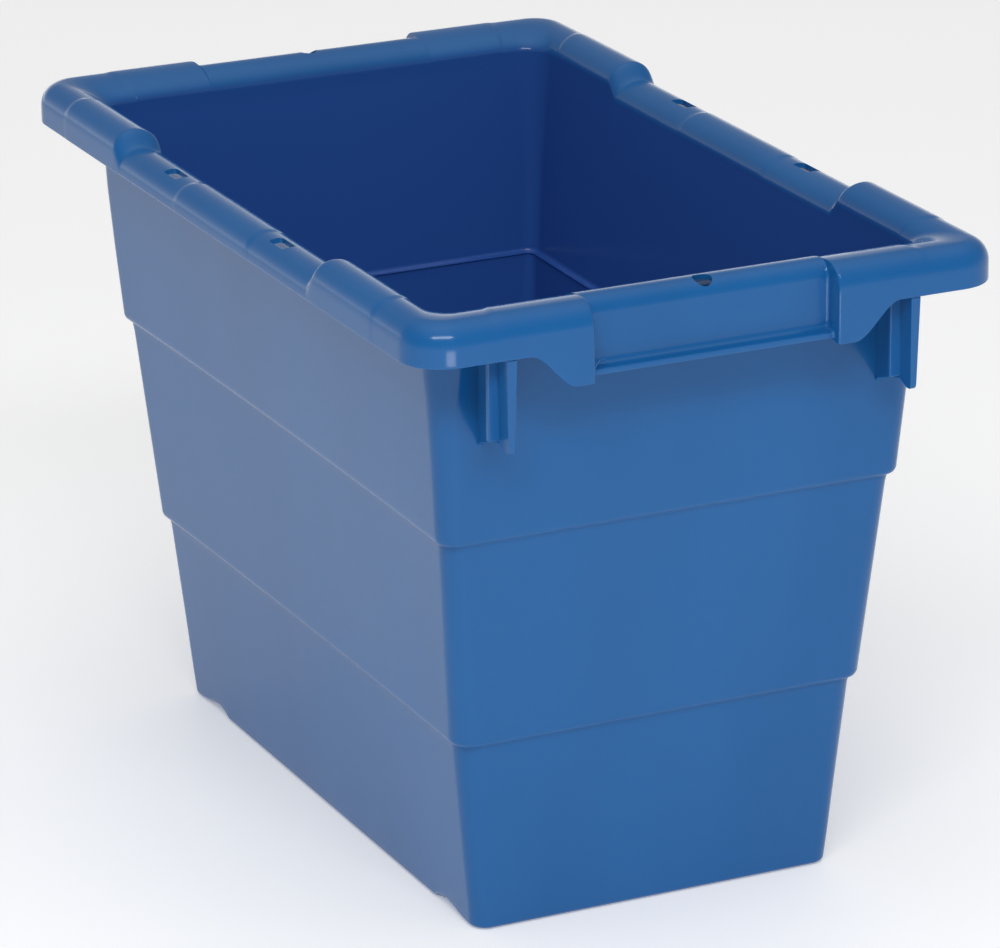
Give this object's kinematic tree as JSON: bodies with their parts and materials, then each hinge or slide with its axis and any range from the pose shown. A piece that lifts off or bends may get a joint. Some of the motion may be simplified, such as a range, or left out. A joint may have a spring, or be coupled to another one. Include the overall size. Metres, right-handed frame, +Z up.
{
  "type": "cross-stacking storage tub",
  "caption": "Open rectangular moulded storage tub with drafted stepped walls, channel rim with raised corner saddles, low side rails, end grips and stop ribs, for nesting and cross-stacking.",
  "frame": {"origin": "centre of the footprint on the floor plane, midway along length and width, z = 0 at the underside of the foot", "axes": "+X along the length towards the front grip, +Y across the width to the left side, +Z up"},
  "size_m": [0.4494, 0.2794, 0.303],
  "materials": {
    "blue_polypropylene": "semi-gloss injection-moulded polypropylene, fine draw polish outside"
  },
  "bodies": {
    "root": {"floor_pan": "blue_polypropylene", "lower_wall": "blue_polypropylene", "middle_wall": "blue_polypropylene", "upper_wall": "blue_polypropylene", "rail_left": "blue_polypropylene", "rail_right": "blue_polypropylene", "rim_corner_front_left": "blue_polypropylene", "rim_corner_front_right": "blue_polypropylene", "rim_corner_rear_left": "blue_polypropylene", "rim_corner_rear_right": "blue_polypropylene", "grip_front": "blue_polypropylene", "grip_rear": "blue_polypropylene", "stop_rib_front_left": "blue_polypropylene", "stop_rib_front_right": "blue_polypropylene", "stop_rib_rear_left": "blue_polypropylene", "stop_rib_rear_right": "blue_polypropylene"}
  },
  "joints": []
}
